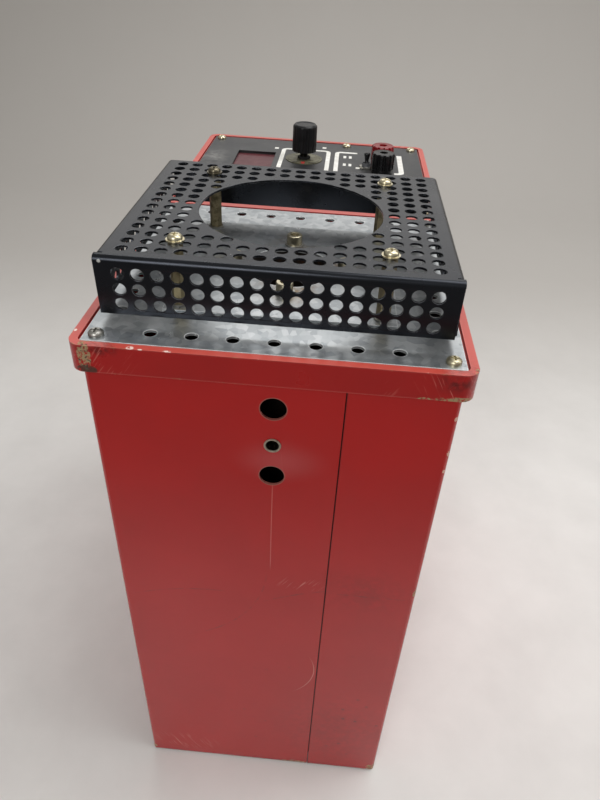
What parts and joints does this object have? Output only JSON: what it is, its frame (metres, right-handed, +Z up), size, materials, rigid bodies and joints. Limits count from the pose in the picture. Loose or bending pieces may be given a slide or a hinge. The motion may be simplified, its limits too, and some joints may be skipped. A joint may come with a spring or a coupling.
{
  "type": "bench tester",
  "caption": "Tall red steel bench tester with a heated well under a perforated guard and a control panel with display window, knob, toggle switch and screw terminals.",
  "frame": {"origin": "on the floor under the middle of the case, between the four feet", "axes": "+Z up, +Y from the well end towards the control end, +X across the case"},
  "size_m": [0.207, 0.396, 0.4717],
  "materials": {
    "red_enamel": "semi-gloss stoved enamel, chipped at the rim",
    "mill_steel": "bare cold-rolled sheet",
    "galvanised_steel": "galvanised sheet with a fine spangle",
    "oxidised_steel": "heat-darkened steel",
    "guard_paint": "blue-black satin paint",
    "brass": "turned brass, dulled",
    "yellow_zinc": "yellow-passivated zinc",
    "bright_zinc": "bright zinc plate",
    "black_oxide": "alloy steel, slightly browned by heat",
    "blackened_steel": "chemically blackened steel",
    "nickel": "nickel plate",
    "rubber": "moulded black rubber",
    "panel_paint": "dark grey paint, slightly glossy",
    "dial_metal": "aged printed aluminium",
    "black_plastic": "moulded black plastic",
    "red_filter": "dark red acrylic filter",
    "grey_plastic": "moulded grey plastic",
    "pot_can": "pressed can",
    "red_plastic": "moulded red plastic",
    "black_gloss": "moulded glossy black plastic",
    "fibre": "vacuum-formed ceramic fibre",
    "board_laminate": "green glass-fibre laminate",
    "core_iron": "varnished laminations"
  },
  "bodies": {
    "case": {"rim_frame": "red_enamel", "divider_rail": "red_enamel", "case_left_shell": "red_enamel", "case_right_shell": "red_enamel", "seam_strips": "mill_steel", "base_tray": "mill_steel", "partition_wall": "mill_steel", "mounting_ring": "mill_steel", "transformer_clamp": "mill_steel", "deck_plate": "galvanised_steel", "well_flange": "galvanised_steel", "well_tube": "oxidised_steel", "heater_bands": "oxidised_steel", "heat_can": "oxidised_steel", "guard_top": "guard_paint", "guard_walls": "guard_paint", "guard_posts": "brass", "red_terminal_stud": "brass", "black_terminal_stud": "brass", "board_standoffs": "brass", "inlet_pins": "brass", "terminal_nuts": "brass", "guard_screws": "yellow_zinc", "panel_screws": "yellow_zinc", "deck_screws": "bright_zinc", "post_washers": "bright_zinc", "bolt_washers": "bright_zinc", "post_base_screws": "bright_zinc", "fan_screws": "bright_zinc", "rivet_nut": "bright_zinc", "flange_bolts": "black_oxide", "toggle_nut": "nickel", "thermocouple": "nickel", "pot_nut": "blackened_steel", "rubber_feet": "rubber", "control_panel": "panel_paint", "dial_plate": "dial_metal", "display_bezel": "black_plastic", "fan_frame": "black_plastic", "mains_inlet": "black_plastic", "display_lens": "red_filter", "display_module": "grey_plastic", "toggle_body": "grey_plastic", "board_parts": "grey_plastic", "transformer_coil": "grey_plastic", "pot_body": "pot_can", "red_terminal_collar": "red_plastic", "black_terminal_collar": "black_gloss", "insulation_jacket": "fibre", "control_board": "board_laminate", "transformer_core": "core_iron"},
    "knob": {"control_knob": "black_plastic", "pot_shaft": "blackened_steel"},
    "toggle": {"toggle_lever": "black_gloss"},
    "red_thread": {"red_terminal_insert": "brass"},
    "red_cap": {"red_terminal_cap": "red_plastic"},
    "black_thread": {"black_terminal_insert": "brass"},
    "black_cap": {"black_terminal_cap": "black_gloss"},
    "fan": {"fan_rotor": "black_plastic"}
  },
  "joints": [
    {"name": "knob_turn", "type": "hinge", "parent": "case", "child": "knob", "pos_m": [-0.008, 0.137, 0.4295], "axis": [0, 0, 1], "range_deg": [-150, 150]},
    {"name": "toggle_throw", "type": "hinge", "parent": "case", "child": "toggle", "pos_m": [0.0484, 0.1227, 0.4315], "axis": [1, 0, 0], "range_deg": [0, 24]},
    {"name": "fan_spin", "type": "hinge", "parent": "case", "child": "fan", "pos_m": [-0.03, 0.18, 0.08], "axis": [0, 1, 0], "continuous": true},
    {"name": "red_cap_turn", "type": "hinge", "parent": "red_thread", "child": "red_cap", "pos_m": [0.062, 0.135, 0.4375], "axis": [0, 0, 1], "range_deg": [0, 1080]},
    {"name": "red_cap_lift", "type": "slide", "parent": "case", "child": "red_thread", "axis": [0, 0, 1], "range_m": [0, 0.003]},
    {"name": "black_cap_turn", "type": "hinge", "parent": "black_thread", "child": "black_cap", "pos_m": [0.062, 0.1125, 0.4375], "axis": [0, 0, 1], "range_deg": [0, 1080]},
    {"name": "black_cap_lift", "type": "slide", "parent": "case", "child": "black_thread", "axis": [0, 0, 1], "range_m": [0, 0.003]}
  ],
  "couplings": [
    {"joint": "red_cap_lift", "follows": "red_cap_turn", "m_per_rad": 0.00015915},
    {"joint": "black_cap_lift", "follows": "black_cap_turn", "m_per_rad": 0.00015915}
  ]
}
